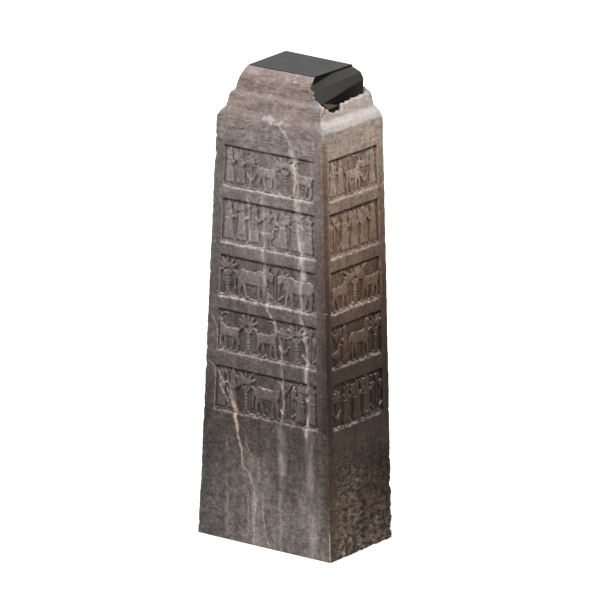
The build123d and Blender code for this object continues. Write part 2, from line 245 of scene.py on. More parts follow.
def beside_fill(points):
    """The broken stone round the dark fill."""
    x, y, z = points[:, 0], np.abs(points[:, 1]), points[:, 2]
    return np.where((x > FILL_START) & (y < BREAK_HALF) & (z > BREAK_FOOT), 1.0, 0.0)


def cut_level(piece, height, keep_above):
    """Cut a piece through at a height, close the cut and keep one side of it."""
    edit_all(
        piece, bpy.ops.mesh.bisect, plane_co=(0, 0, height), plane_no=(0, 0, 1), use_fill=True,
        clear_inner=keep_above, clear_outer=not keep_above,
    )


def wear_block(block):
    """Soften the edges, dent the faces, chip the arrises and the sills, and pit the foot."""
    points = points_of(block)
    broken = beside_fill(points)
    head = weigh(block, "head", (points[:, 2] - 1.75) / 0.02 - broken)
    arrises = weigh(block, "arrises", nearness_to_arrises(points, 0.024) - broken)
    sills = weigh(block, "sills", nearness_to_sills(points, 0.008))
    pitted = weigh(block, "pitted", rough_foot(points))
    rim = weigh(block, "rim", np.where((points[:, 1] > 0.0) & (points[:, 2] > 1.955), 1.0, 0.0))
    whole = weigh(block, "whole", 1.0 - broken)
    broken = weigh(block, "broken", broken)
    soften(block, 0.5, 2, whole)
    soften(block, 0.4, 1, broken)
    soften(block, 0.5, 2, head)
    soften(block, 0.5, 5, arrises)
    soften(block, 0.5, 6, rim)
    wear_down(block, cloud("sway", 0.14), 0.0045, 0.28)
    wear_down(block, cloud("dents", 0.030), 0.0016, 0.42)
    wear_down(block, cloud("grit", 0.009), 0.0008)
    wear_down(block, bites("chips", 0.060, 0.58, 0.84), -0.008, 0.0, arrises)
    wear_down(block, bites("nicks", 0.020, 0.64, 0.78), -0.003, 0.0, arrises)
    wear_down(block, bites("sill_chips", 0.028, 0.44, 0.66), -0.0040, 0.0, sills)
    wear_down(block, bites("teeth", 0.012, 0.48, 0.56), -0.0020, 0.0, broken)
    wear_down(block, cloud("hollows", 0.030, 4), 0.013, 0.52, pitted)
    wear_down(block, bites("pocks", 0.015, 0.50, 0.66), -0.005, 0.0, pitted)


def make_body():
    """The worn block, in three pieces stacked face to face."""
    block = copy_node("stone_body", "stone_block")
    finish_with(block, "REMESH", mode="VOXEL", voxel_size=BODY_GRAIN)
    wear_block(block)
    thin_to(block, BODY_TRIANGLES)
    pieces = []
    for name, low, high in zip(
        ("stone_foot", "stone_shaft", "stone_head"), (0.0, *BODY_CUTS), (*BODY_CUTS, None),
    ):
        piece = copy_of(block, name)
        cut_level(piece, low, True)
        if high:
            cut_level(piece, high, False)
        pieces.append(piece)
    bpy.data.objects.remove(block)
    return pieces


# The carved panels


def make_carving(side, row):
    """One carved bed, worn soft, a little larger so that its rim sits in the stone."""
    node_name = f"carving_{side}_{row}"
    carving = copy_node(node_name, f"worn_{node_name}")
    low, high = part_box(node_name)
    middle = (Vector(low) + Vector(high)) / 2
    along = (1.012, 1.0, 1.02) if side in ("front", "back") else (1.0, 1.015, 1.02)
    edit_all(carving, bpy.ops.transform.resize, value=along, center_override=middle)
    finish_with(carving, "REMESH", mode="VOXEL", voxel_size=CARVING_GRAIN)
    soften(carving, 0.5, 5)
    wear_down(carving, cloud(f"carving_sway_{side}_{row}", 0.055), 0.0034)
    wear_down(carving, cloud(f"carving_dents_{side}_{row}", 0.019), 0.0022)
    wear_down(carving, cloud(f"carving_grit_{side}_{row}", 0.007), 0.0012)
    thin_to(carving, CARVING_TRIANGLES)
    return carving


# Material helpers


def put(tree, kind, settings=None, inputs=None):
    """A node with its settings and inputs; an input is a value or another node's socket."""
    node = tree.nodes.new(kind)
    for name, value in (settings or {}).items():
        setattr(node, name, value)
    for name, value in (inputs or {}).items():
        socket = node.inputs[name]
        if isinstance(value, bpy.types.NodeSocket):
            tree.links.new(value, socket)
        else:
            socket.default_value = value
    return node


def calc(tree, operation, *values, clamp=False):
    """A Math node's result."""
    settings = {"operation": operation, "use_clamp": clamp}
    return put(tree, "ShaderNodeMath", settings, dict(enumerate(values))).outputs[0]


def plus(tree, value, added):
    """The sum of two values."""
    return calc(tree, "ADD", value, added)


def less(tree, value, taken):
    """A value with another taken from it."""
    return calc(tree, "SUBTRACT", value, taken)


def times_plus(tree, value, factor, shift):
    """A value times a factor, plus a shift."""
    return calc(tree, "MULTIPLY_ADD", value, factor, shift)


def above(tree, value, limit):
    """1 where a value is above a limit, and 0 elsewhere."""
    return calc(tree, "GREATER_THAN", value, limit)


def below(tree, value, limit):
    """1 where a value is below a limit, and 0 elsewhere."""
    return calc(tree, "LESS_THAN", value, limit)


def product(tree, *values):
    """All the values multiplied together."""
    total = values[0]
    for value in values[1:]:
        total = calc(tree, "MULTIPLY", total, value)
    return total


def fade(tree, value, start, end, low=0.0, high=1.0):
    """A smooth step of a value from low at start to high at end."""
    inputs = {"Value": value, "From Min": start, "From Max": end, "To Min": low, "To Max": high}
    return put(tree, "ShaderNodeMapRange", {"interpolation_type": "SMOOTHSTEP"}, inputs).outputs["Result"]


def between(tree, mask, under, over):
    """A value that goes from under to over with a mask."""
    return times_plus(tree, mask, less(tree, over, under), under)


def near(tree, value, target, reach, core):
    """1 within a core distance of a target value, fading to 0 at its reach."""
    return fade(tree, calc(tree, "ABSOLUTE", less(tree, value, target)), reach, core)


def blend(tree, mask, under, over, kind="MIX"):
    """One colour laid over another by a mask."""
    node = put(tree, "ShaderNodeMix", {"data_type": "RGBA", "blend_type": kind, "clamp_factor": True})
    for index, value in ((0, mask), (6, under), (7, over)):
        if isinstance(value, bpy.types.NodeSocket):
            tree.links.new(value, node.inputs[index])
        else:
            node.inputs[index].default_value = value
    return node.outputs[2]


def highest(tree, masks):
    """The strongest of several masks."""
    total = 0.0
    for mask in masks:
        total = calc(tree, "MAXIMUM", mask, total)
    return total


def darken(tree, mask, colour, red, green, blue):
    """The colour multiplied by three parts where the mask is 1."""
    return blend(tree, mask, colour, (red, green, blue, 1.0), "MULTIPLY")


def vector(tree, operation, *values, output=0):
    """A Vector Math node's result."""
    node = put(tree, "ShaderNodeVectorMath", {"operation": operation}, dict(enumerate(values)))
    return node.outputs[output]


def away(tree, point, middle):
    """How far a point is from a middle."""
    return vector(tree, "DISTANCE", point, middle, output=1)


def split(tree, value):
    """A vector's X, Y and Z."""
    return put(tree, "ShaderNodeSeparateXYZ", None, {0: value}).outputs


def noise(tree, places, size, detail=4.0, roughness=0.55, stretch=None):
    """A noise whose lumps are about one size, in metres."""
    if stretch:
        places = vector(tree, "MULTIPLY", places, stretch)
    inputs = {"Vector": places, "Scale": 1.0 / size, "Detail": detail, "Roughness": roughness}
    return put(tree, "ShaderNodeTexNoise", None, inputs).outputs["Fac"]


def tones(tree, value, stops):
    """A colour ramp from pairs of position and colour, with colours from 0 to 255."""
    node = put(tree, "ShaderNodeValToRGB", None, {"Fac": value})
    ramp = node.color_ramp
    for element, (position, colour) in zip(ramp.elements, (stops[0], stops[-1])):
        element.position, element.color = position, paint(*colour)
    for position, colour in stops[1:-1]:
        ramp.elements.new(position).color = paint(*colour)
    return node.outputs["Color"]


def paint(red, green, blue):
    """A linear colour from the usual 0 to 255 values."""
    def linear(value):
        value /= 255
        return value / 12.92 if value <= 0.04045 else ((value + 0.055) / 1.055) ** 2.4
    return (linear(red), linear(green), linear(blue), 1.0)


def new_material(name):
    """A material with its node tree and its shader."""
    material = bpy.data.materials.new(name)
    material.use_nodes = True
    return material, material.node_tree, material.node_tree.nodes["Principled BSDF"]


def finish_material(tree, shader, colour, roughness, gloss, bump):
    """Give a shader its colour, how rough and how glossy it is, and its bump."""
    tree.links.new(colour, shader.inputs["Base Color"])
    shader.inputs["Roughness"].default_value = roughness
    shader.inputs["Specular IOR Level"].default_value = gloss
    normal = put(tree, "ShaderNodeBump", None, bump).outputs["Normal"]
    tree.links.new(normal, shader.inputs["Normal"])


def new_group(name, inputs, outputs):
    """A shader node group with named sockets, and what it is given: a Point, a Color and else numbers."""
    group = bpy.data.node_groups.new(name, "ShaderNodeTree")
    for direction, names in (("INPUT", inputs), ("OUTPUT", outputs)):
        for socket_name in names:
            kind = {"Point": "Vector", "Color": "Color"}.get(socket_name, "Float")
            group.interface.new_socket(name=socket_name, in_out=direction, socket_type="NodeSocket" + kind)
    return group, group.nodes.new("NodeGroupInput").outputs


def give_out(group, **results):
    """End a group with its results, each to the output of its name."""
    put(group, "NodeGroupOutput", None, results)


def use_group(tree, group, inputs):
    """A group placed in a material with its own values."""
    return put(tree, "ShaderNodeGroup", {"node_tree": group}, inputs).outputs


def shade(tree, colour, strength):
    """A colour made lighter or darker by a strength."""
    return use_group(tree, shade_group, {"Color": colour, "Strength": strength})["Color"]


# Shared effects


def make_places_group():
    """Where a point is on the stone: its face, its height, its depth in the face, its way to the corner."""
    group, given = new_group(
        "places on the stone", ["Point"], ["Side", "Depth", "Across", "Height", "Corner"],
    )
    apart = split(group, given["Point"])
    rise = calc(group, "DIVIDE", apart["Z"], SHAFT_TOP, clamp=True)
    insets = []
    for axis, foot, top in (("X", FOOT_HALF.x, SHAFT_TOP_HALF.x), ("Y", FOOT_HALF.y, SHAFT_TOP_HALF.y)):
        half = times_plus(group, rise, top - foot, foot)
        insets.append(less(group, half, calc(group, "ABSOLUTE", apart[axis])))
    side = fade(group, less(group, insets[1], insets[0]), -0.003, 0.003)
    across = plus(group,
                  calc(group, "MULTIPLY", apart["X"], less(group, 1.0, side)),
                  calc(group, "MULTIPLY", apart["Y"], side))
    give_out(group, Side=side, Depth=calc(group, "MINIMUM", *insets), Across=across, Height=apart["Z"],
             Corner=calc(group, "MAXIMUM", *insets))
    return group


def make_stone_tone_group():
    """The stone's colour by face and height: grey-brown in front, warm brown at the sides, pale ledges;
    partly painted light, with the sides painted warmer than the front and the up-facing ledges paler.
    """
    group, given = new_group("stone tone", ["Point", "Side", "Height"], ["Color"])
    side, height = given["Side"], given["Height"]
    wander = noise(group, given["Point"], 0.20, 3.0, 0.5)
    level = times_plus(group, height, 1 / HEIGHT, times_plus(group, wander, 0.10, -0.05))
    broad = tones(group, level, (
        (0.00, (106, 98, 93)), (0.10, (101, 93, 89)), (0.18, (86, 78, 73)),
        (0.25, (69, 62, 58)), (0.31, (76, 69, 66)), (0.35, (83, 75, 72)),
        (0.46, (95, 87, 85)), (0.58, (103, 94, 93)), (0.70, (119, 110, 108)),
        (0.86, (126, 115, 110)),
    ))
    # The sides' ramp: its warm brown is partly painted light, warmer than the front
    narrow = tones(group, level, (
        (0.00, (84, 73, 64)), (0.12, (72, 60, 50)), (0.18, (57, 46, 37)),
        (0.30, (49, 38, 29)), (0.42, (63, 49, 37)), (0.50, (82, 65, 52)),
        (0.58, (101, 82, 68)), (0.70, (125, 105, 91)), (0.86, (146, 131, 120)),
    ))
    shaft = blend(group, side, broad, narrow)
    wobble = noise(group, given["Point"], 0.03, 3.0)
    # The head's ramps by height: the ledges are partly painted light, paler where they face up
    rise = times_plus(group, height, 1 / HEAD_RISE,
                      times_plus(group, wobble, 0.05, -HEAD_FOOT / HEAD_RISE - 0.025))
    ledges_broad = tones(group, rise, (
        (0.00, (128, 116, 110)), (0.05, (123, 113, 109)), (0.20, (125, 115, 111)),
        (0.26, (131, 118, 111)), (0.42, (136, 123, 116)), (0.46, (134, 124, 120)),
        (0.54, (132, 122, 118)), (0.59, (126, 114, 108)), (0.74, (125, 112, 105)),
        (0.80, (133, 121, 116)), (1.00, (134, 122, 118)),
    ))
    ledges_narrow = tones(group, rise, (
        (0.00, (150, 136, 126)), (0.05, (168, 160, 156)), (0.20, (170, 162, 158)),
        (0.26, (160, 148, 139)), (0.42, (168, 156, 147)), (0.46, (172, 162, 156)),
        (1.00, (170, 158, 150)),
    ))
    head = blend(group, side, ledges_broad, ledges_narrow)
    colour = blend(group, fade(group, height, 1.758, 1.768), shaft, head)
    give_out(group, Color=colour)
    return group


def make_mottle_group():
    """How light or dark the stone is from spot to spot: washes, patches, flecks, grains and scratches."""
    group, given = new_group("mottle", ["Point", "Scratches", "Calm"], ["Strength"])
    point = given["Point"]
    washes = fade(group, noise(group, point, 0.045, 3.0, 0.5, (1, 1, 0.14)), 0.32, 0.70, 0.84, 1.18)
    patches = fade(group, noise(group, point, 0.055, 5.0, 0.66), 0.34, 0.68, 0.83, 1.17)
    flecks = fade(group, noise(group, point, 0.016, 4.0, 0.65), 0.32, 0.68, 0.76, 1.26)
    grains = fade(group, noise(group, point, 0.006, 3.0, 0.6), 0.32, 0.68, 0.80, 1.20)
    level = fade(group, noise(group, point, 0.020, 4.0, 0.6, (0.22, 0.22, 1)), 0.36, 0.66, 0.82, 1.16)
    washes = between(group, given["Scratches"], washes, level)
    scratch = fade(group, noise(group, point, 0.0065, 3.0, 0.6, (0.12, 0.12, 1)), 0.54, 0.66)
    scratch = times_plus(group, product(group, scratch, given["Scratches"]), -0.52, 1.0)
    spots = between(group, given["Calm"], product(group, washes, patches, flecks, grains), 1.0)
    give_out(group, Strength=product(group, spots, scratch))
    return group


def make_line_group():
    """A vein or a drip: dark off its line, with soft sides and ends."""
    group, given = new_group(
        "line on a face", ["Across", "Height", "Centre", "Width", "Top", "Bottom"], ["Mask"],
    )
    line = near(group, given["Across"], given["Centre"], given["Width"], 0.0)
    top = fade(group, given["Height"], given["Top"], less(group, given["Top"], 0.03))
    bottom = fade(group, given["Height"], less(group, given["Bottom"], 0.02), given["Bottom"])
    give_out(group, Mask=product(group, line, top, bottom))
    return group


def make_shade_group():
    """A colour made lighter or darker by a strength."""
    group, given = new_group("shade", ["Color", "Strength"], ["Color"])
    parts = dict.fromkeys(("Red", "Green", "Blue"), given["Strength"])
    grey = put(group, "ShaderNodeCombineColor", None, parts).outputs[0]
    give_out(group, Color=blend(group, 1.0, given["Color"], grey, "MULTIPLY"))
    return group


def make_wander_group():
    """A place on the front face, led astray a little so that lines drawn there waver."""
    group, given = new_group("wander", ["Point"], ["Across", "Height"])
    point = given["Point"]
    apart = split(group, point)
    broad = times_plus(group, noise(group, point, 0.060, 3.0), 0.018, -0.009)
    small = times_plus(group, noise(group, point, 0.012, 3.0, 0.6), 0.005, -0.0025)
    across = plus(group, apart["X"], plus(group, broad, small))
    give_out(group, Across=across, Height=plus(group, apart["Z"], broad))
    return group


def make_relief_group():
    """Heights for the bump: grain, combing, pits and the level lines left by the tool."""
    group, given = new_group(
        "tooled relief", ["Point", "Height", "Lines", "Combing", "Pits", "Scratches", "Wear"], ["Height"],
    )
    grain = noise(group, given["Point"], 0.004, 4.0, 0.65)
    fleck = noise(group, given["Point"], 0.013, 4.0, 0.6)
    scratch = fade(group, noise(group, given["Point"], 0.0065, 3.0, 0.6, (0.10, 0.10, 1)), 0.50, 0.68)
    worn = noise(group, given["Point"], 0.020, 5.0, 0.68)
    combed = noise(group, given["Point"], 0.007, 3.0, 0.6, (0.22, 0.22, 1))
    wobble = noise(group, given["Point"], 0.05, 3.0)
    turn = times_plus(group, given["Height"], math.tau / TOOL_LINE_GAP,
                      calc(group, "MULTIPLY", wobble, 9.0))
    line = fade(group, calc(group, "SINE", turn), 0.1, 0.9)
    patchy = fade(group, noise(group, given["Point"], 0.022, 4.0, 0.6, (1, 1, 2.5)), 0.40, 0.60)
    line = product(group, line, patchy, given["Lines"])
    spread = {"Vector": given["Point"], "Scale": 70.0, "Smoothness": 0.5, "Randomness": 1.0}
    pits = put(group, "ShaderNodeTexVoronoi", {"feature": "SMOOTH_F1"}, spread).outputs["Distance"]
    pits = product(group, fade(group, pits, 0.05, 0.40), given["Pits"])
    height = product(group, grain, 0.0010)
    height = times_plus(group, fleck, 0.0022, height)
    height = times_plus(group, product(group, combed, given["Combing"]), 0.0022, height)
    height = times_plus(group, line, -0.0012, height)
    height = times_plus(group, pits, 0.003, height)
    height = times_plus(group, product(group, scratch, given["Scratches"]), -0.0020, height)
    height = times_plus(group, product(group, worn, given["Wear"]), 0.0060, height)
    give_out(group, Height=height)
    return group


# Materials

places_group = make_places_group()
stone_tone_group = make_stone_tone_group()
mottle_group = make_mottle_group()
line_group = make_line_group()
shade_group = make_shade_group()
wander_group = make_wander_group()
relief_group = make_relief_group()

# Lime drips on the front: the half width of each, how pale it is, and its turns
FRONT_DRIPS = (
    (0.025, 0.90, ((0.105, 1.705), (0.120, 1.640), (0.125, 1.565), (0.140, 1.485), (0.155, 1.365),
                   (0.165, 1.285), (0.170, 1.160))),
    (0.016, 0.62, ((0.170, 1.170), (0.160, 1.090), (0.165, 1.025), (0.175, 0.975))),
    (0.015, 0.75, ((0.175, 0.975), (0.200, 0.850), (0.200, 0.760), (0.210, 0.670), (0.205, 0.510))),
    (0.030, 0.33, ((0.205, 0.560), (0.230, 0.340), (0.240, 0.150), (0.250, 0.010))),
    (0.022, 0.14, ((0.130, 1.320), (0.155, 1.115), (0.160, 0.900))),
    (0.014, 0.80, ((0.030, 1.785), (0.075, 1.760), (0.090, 1.730), (0.105, 1.705))),
    (0.013, 0.50, ((-0.100, 1.470), (-0.095, 1.285))),
    (0.014, 0.60, ((-0.030, 1.480), (-0.025, 1.365), (-0.020, 1.165), (-0.010, 1.085), (0.005, 1.005))),
    (0.010, 0.55, ((0.010, 1.005), (0.040, 0.930), (0.070, 0.845), (0.080, 0.720), (0.085, 0.630),
                   (0.075, 0.560))),
    (0.034, 0.44, ((0.070, 0.540), (0.085, 0.450), (0.085, 0.330))),
    (0.012, 0.26, ((0.075, 0.560), (0.085, 0.350), (0.080, 0.215), (0.085, 0.005))),
    (0.050, 0.22, ((-0.060, 0.400), (-0.045, 0.200), (-0.040, 0.010))),
    (0.016, 0.20, ((-0.190, 0.300), (-0.185, 0.020))),
    (0.090, 0.16, ((0.000, 1.660), (0.010, 1.230))),
)

# Thin pale veins, most of them on the lower left of the front
FRONT_VEINS = (
    (0.009, 1.00, ((-0.250, 0.720), (-0.210, 0.655), (-0.170, 0.595), (-0.155, 0.545), (-0.140, 0.480),
                    (-0.120, 0.405), (-0.110, 0.335), (-0.070, 0.295), (-0.050, 0.235), (-0.045, 0.170),
                    (-0.055, 0.080), (-0.050, 0.015))),
    (0.007, 0.90, ((-0.240, 0.705), (-0.225, 0.645), (-0.190, 0.575))),
    (0.007, 0.90, ((-0.215, 0.735), (-0.190, 0.670), (-0.155, 0.575))),
    (0.007, 0.70, ((-0.305, 0.760), (-0.265, 0.725), (-0.250, 0.705))),
    (0.008, 0.75, ((-0.185, 0.355), (-0.135, 0.335), (-0.110, 0.325))),
    (0.006, 0.60, ((-0.105, 0.445), (-0.085, 0.405), (-0.065, 0.385))),
    (0.007, 0.60, ((-0.070, 0.340), (-0.070, 0.270))),
    (0.007, 0.60, ((-0.205, 0.455), (-0.190, 0.395))),
    (0.006, 0.70, ((-0.130, 0.260), (-0.080, 0.220), (-0.080, 0.105), (-0.085, 0.030))),
    (0.007, 1.00, ((-0.010, 0.245), (-0.005, 0.150), (0.005, 0.065), (0.025, 0.020))),
    (0.006, 0.70, ((-0.015, 0.240), (-0.055, 0.180), (-0.060, 0.150), (-0.055, 0.075))),
    (0.006, 0.60, ((-0.020, 0.395), (-0.035, 0.345), (-0.025, 0.315), (-0.030, 0.275))),
    (0.007, 0.60, ((-0.290, 0.955), (-0.255, 0.905), (-0.225, 0.810))),
)
SCAR = ((-0.170, 0.600), (-0.155, 0.565), (-0.150, 0.525), (-0.140, 0.485))
RUST_SPOT = (0.127, -0.208, 1.55)

# Pale patches: the middle, the radius and how pale it is
PALE_PATCHES = (
    ((0.000, -0.204, 1.790), 0.042, 0.72), ((0.060, -0.206, 1.784), 0.034, 0.62),
    ((0.090, -0.160, 1.950), 0.028, 0.75), ((-0.125, -0.150, 1.960), 0.045, 0.30),
    ((-0.180, -0.185, 1.835), 0.030, 0.35), ((0.291, -0.212, 1.036), 0.014, 0.50),
)

# Grey mends at the front corner: the middle, the radius and how grey it is
MENDS = (((0.208, -0.176, 1.862), 0.021, 0.80), ((0.246, -0.201, 1.790), 0.018, 0.60))

# The crack beside the fill, by its Y and Z, and the middle of the stain round it
CRACK_FOOT = (-0.162, 1.832)
CRACK_SLOPE = 1.36
STAIN = (0.214, -0.138, 1.856)


def lay_line(tree, drawn, width, turns):
    """The mask of one vein or drip that goes down the front through its turns."""
    rising = sorted((turn[1], turn[0]) for turn in turns)
    curve = put(tree, "ShaderNodeFloatCurve", None, {"Value": calc(tree, "MULTIPLY", drawn["Height"], 0.5)})
    points = curve.mapping.curves[0].points
    for point, (height, across) in zip(points, (rising[0], rising[-1])):
        point.location = (height / 2, across + 0.5)
    for height, across in rising[1:-1]:
        points.new(height / 2, across + 0.5)
    for point in points:
        point.handle_type = "VECTOR"
    curve.mapping.update()
    return use_group(tree, line_group, {
        "Across": drawn["Across"], "Height": drawn["Height"], "Width": width,
        "Centre": less(tree, curve.outputs["Value"], 0.5),
        "Top": rising[-1][0], "Bottom": rising[0][0]})["Mask"]


def lay_all(tree, drawn, lines):
    """The mask of several veins or drips, each with its own width and strength."""
    return highest(tree, (product(tree, lay_line(tree, drawn, width, turns), strength)
                          for width, strength, turns in lines))


class Spot:
    """Where a point of the stone is, as the sockets that one material's looks are drawn from."""

    def __init__(self, tree):
        self.point = put(tree, "ShaderNodeTexCoord").outputs["Object"]
        place = use_group(tree, places_group, {"Point": self.point})
        self.side, self.depth, self.height = place["Side"], place["Depth"], place["Height"]
        self.across, self.corner = place["Across"], place["Corner"]
        self.facing = split(tree, put(tree, "ShaderNodeNewGeometry").outputs["Normal"])
        apart = split(tree, self.point)
        self.x, self.y = apart["X"], apart["Y"]
        self.patchy = noise(tree, self.point, 0.03, 4.0, 0.6)
        self.broad = less(tree, 1.0, self.side)
        self.front = product(tree, self.broad, below(tree, self.y, 0.0))
        self.on_shaft = fade(tree, self.height, 1.752, 1.733)
        self.on_head = fade(tree, self.height, 1.755, 1.775)


def shade_faces(tree, at, colour, carved):
    """The broad darkness of the faces: behind, beside the corners, between the panels and on the left."""
    # The sides darken towards the back
    rear = product(tree, fade(tree, at.y, -0.12, 0.20), fade(tree, at.height, 1.76, 1.25), at.side)
    colour = darken(tree, product(tree, rear, 0.8), colour, 0.66, 0.61, 0.58)
    rear = product(tree, fade(tree, at.y, -0.06, 0.14), fade(tree, at.height, 0.46, 0.36),
                   fade(tree, at.height, 0.06, 0.26), at.side)
    colour = darken(tree, rear, colour, 0.43, 0.39, 0.35)

    # Dark, brown jambs beside the corners, and the stone between the panels
    jamb = product(tree, fade(tree, at.corner, 0.056, 0.034), fade(tree, at.height, 0.49, 0.56),
                   fade(tree, at.height, 1.70, 0.80, 0.12, 1.0), fade(tree, at.patchy, 0.25, 0.65, 1.0, 0.7),
                   between(tree, at.broad, 1.0, fade(tree, at.x, -0.25, -0.10, 0.08, 1.0)))
    colour = darken(tree, jamb, colour, 0.58, 0.52, 0.49)
    if not carved:
        band = product(tree, fade(tree, at.height, 0.50, 0.56), fade(tree, at.height, 1.68, 1.62),
                       fade(tree, at.depth, 0.004, 0.001))
        colour = darken(tree, product(tree, band, 0.8), colour, 0.80, 0.79, 0.79)

    # Brown on both sides of the front corner
    at_corner = product(tree, below(tree, at.y, 0.0),
                        above(tree, at.x, 0.0), fade(tree, at.height, 1.765, 1.70))
    brown = product(tree, at_corner, at.side, fade(tree, at.corner, 0.042, 0.016),
                    fade(tree, at.height, 0.50, 0.80, 0.4, 1.0))
    colour = darken(tree, brown, colour, 0.58, 0.50, 0.43)
    brown = product(tree, at_corner, at.broad, fade(tree, at.corner, 0.034, 0.008),
                    fade(tree, at.height, 1.20, 1.50, 1.0, 0.4))
    colour = darken(tree, brown, colour, 0.79, 0.67, 0.59)

    # The left of the front is bluish and dark
    left = plus(tree, fade(tree, at.height, 0.56, 0.38, 0.27, 0.95),
                fade(tree, at.height, 0.80, 1.10, 0.0, 0.24))
    left = product(tree, at.broad, fade(tree, at.x, -0.05, -0.28), left,
                   fade(tree, at.height, 1.75, 1.55))
    colour = darken(tree, left, colour, 0.57, 0.61, 0.66)

    # Below the panels the right half of the front is darker
    dim = product(tree, at.broad, fade(tree, at.x, -0.02, 0.12),
                  near(tree, at.height, 0.36, 0.22, 0.10))
    return darken(tree, dim, colour, 0.80, 0.79, 0.78)


def paint_panel_shade(tree, at, colour):
    """Painted shade in the panels' hollows, strongest on the right; also a painted shadow line below each top
    edge.
    """
    # A painted shadow line just below each panel's top edge
    inside = product(tree, fade(tree, at.depth, 0.0015, 0.005), at.on_shaft)
    wobble = times_plus(tree, noise(tree, at.point, 0.035, 4.0, 0.6), 0.012, less(tree, at.height, 0.006))
    wobble = times_plus(tree, at.side, 0.003, wobble)
    line = highest(tree, (near(tree, wobble, top - 0.0035, 0.0100, 0.0055) for top, _ in PANEL_ROWS))
    line = product(tree, line, inside, fade(tree, noise(tree, at.point, 0.06, 3.0), 0.32, 0.48, 0.45, 1.0))
    # Painted shade deepening into each panel's hollow
    hollow_shade = product(tree, fade(tree, at.depth, 0.004, PANEL_DEPTH), at.on_shaft,
                     fade(tree, at.patchy, 0.30, 0.62, 1.0, 0.45))
    in_front = fade(tree, at.height, 1.19, 1.25, 0.75, 0.32)
    hollow_shade = product(tree, hollow_shade, fade(tree, at.side, 0.0, 1.0, in_front, 0.90))
    return line, darken(tree, hollow_shade, colour, 0.50, 0.44, 0.40)


def light_panel_edges(tree, at, colour):
    """Painted highlights on the frames' edges: round each panel, on its left wall and at the side panels'
    ends.
    """
    # A painted highlight on the rim round each panel
    edge = product(tree, fade(tree, at.depth, 0.0005, 0.002), at.on_shaft,
                   fade(tree, at.patchy, 0.40, 0.60, 0.4, 1.0))
    colour = darken(tree, edge, colour, 1.60, 1.56, 1.52)
    # Walls facing +X on the broad faces are painted paler, as painted light where they lie in shade
    lit_wall = product(tree, fade(tree, at.facing["X"], 0.45, 0.75), fade(tree, at.depth, 0.0005, 0.0015),
                     at.on_shaft, at.broad)
    colour = blend(tree, product(tree, lit_wall, 0.5), colour, paint(152, 142, 137))
    # A painted highlight line at the side panels' ends
    rows = []
    for top, bottom in PANEL_ROWS:
        half = (top - bottom) / 2
        rows.append(near(tree, at.height, bottom + half, half + 0.006, half - 0.004))
    end = times_plus(tree, at.height, SIDE_PANEL_TAPER, calc(tree, "ABSOLUTE", at.across))
    rim = product(tree, near(tree, end, SIDE_PANEL_END, 0.0038, 0.0010), at.side, highest(tree, rows),
                  fade(tree, at.height, 0.85, 1.45, 0.10, 0.65),
                  fade(tree, noise(tree, at.point, 0.018, 4.0, 0.6), 0.36, 0.56, 0.15, 0.75))
    return blend(tree, rim, colour, paint(168, 148, 134))


def light_and_lime_forms(tree, at, colour):
    """On the carved forms the raised parts and what faces up are paler, part lime and part painted light from
    above; what faces down and the crevices get painted shade.
    """
    # A painted highlight on the raised forms
    raised_highlight = product(tree, fade(tree, at.depth, 0.0080, 0.0035), at.on_shaft,
                     fade(tree, at.height, 1.25, 1.19, 0.3, 1.0))
    colour = darken(tree, raised_highlight, colour, 1.14, 1.12, 1.11)
    # Pale on what faces up: lime, and painted light from above
    lime = product(tree, fade(tree, at.facing["Z"], 0.22, 0.62), fade(tree, at.patchy, 0.36, 0.60, 0.3, 1.0),
                   fade(tree, at.side, 0.0, 1.0, 0.55, 0.42), fade(tree, at.height, 1.25, 1.19, 0.7, 1.0))
    colour = blend(tree, lime, colour, paint(170, 158, 150))
    # Painted shade in the crevices
    crevice_shade = product(tree, fade(tree, at.depth, 0.0060, 0.0095), at.on_shaft,
                      fade(tree, at.side, 0.0, 1.0, 0.45, 0.85),
                      fade(tree, noise(tree, at.point, 0.012, 4.0, 0.6, (1, 1, 0.35)), 0.52, 0.62))
    colour = darken(tree, crevice_shade, colour, 0.48, 0.42, 0.38)
    # Painted shade on what faces down
    underside_shade = product(tree, fade(tree, at.facing["Z"], -0.10, -0.45), 0.8)
    return darken(tree, underside_shade, colour, 0.45, 0.41, 0.39)


def spot_and_score(tree, at, colour):
    """Spots, patches, washes and level scratches; also how scratched each place is."""
    scored = fade(tree, noise(tree, at.point, 0.06, 4.0, 0.6, (1, 1, 1.6)), 0.44, 0.54)
    colour = darken(tree, product(tree, at.on_head, scored, at.broad), colour, 0.87, 0.83, 0.80)
    scored = between(tree, at.on_head, 1.0, scored)
    tooled = product(tree, fade(tree, at.height, 1.64, 1.68), fade(tree, at.facing["Z"], 0.62, 0.38), scored,
                     fade(tree, at.side, 0.0, 1.0, 1.0, 0.6))
    low_left = product(tree, fade(tree, at.height, 0.30, 0.10), fade(tree, at.x, -0.10, -0.20), 0.7)
    tooled = calc(tree, "MAXIMUM", tooled, low_left)
    calm = product(tree, at.on_head, fade(tree, at.side, 0.0, 1.0, 0.40, 0.60))
    calm = less(tree, calm, product(tree, fade(tree, at.height, 0.56, 0.50), 0.35))
    mottle = use_group(tree, mottle_group, {"Point": at.point, "Scratches": tooled, "Calm": calm})["Strength"]
    return shade(tree, colour, mottle), tooled


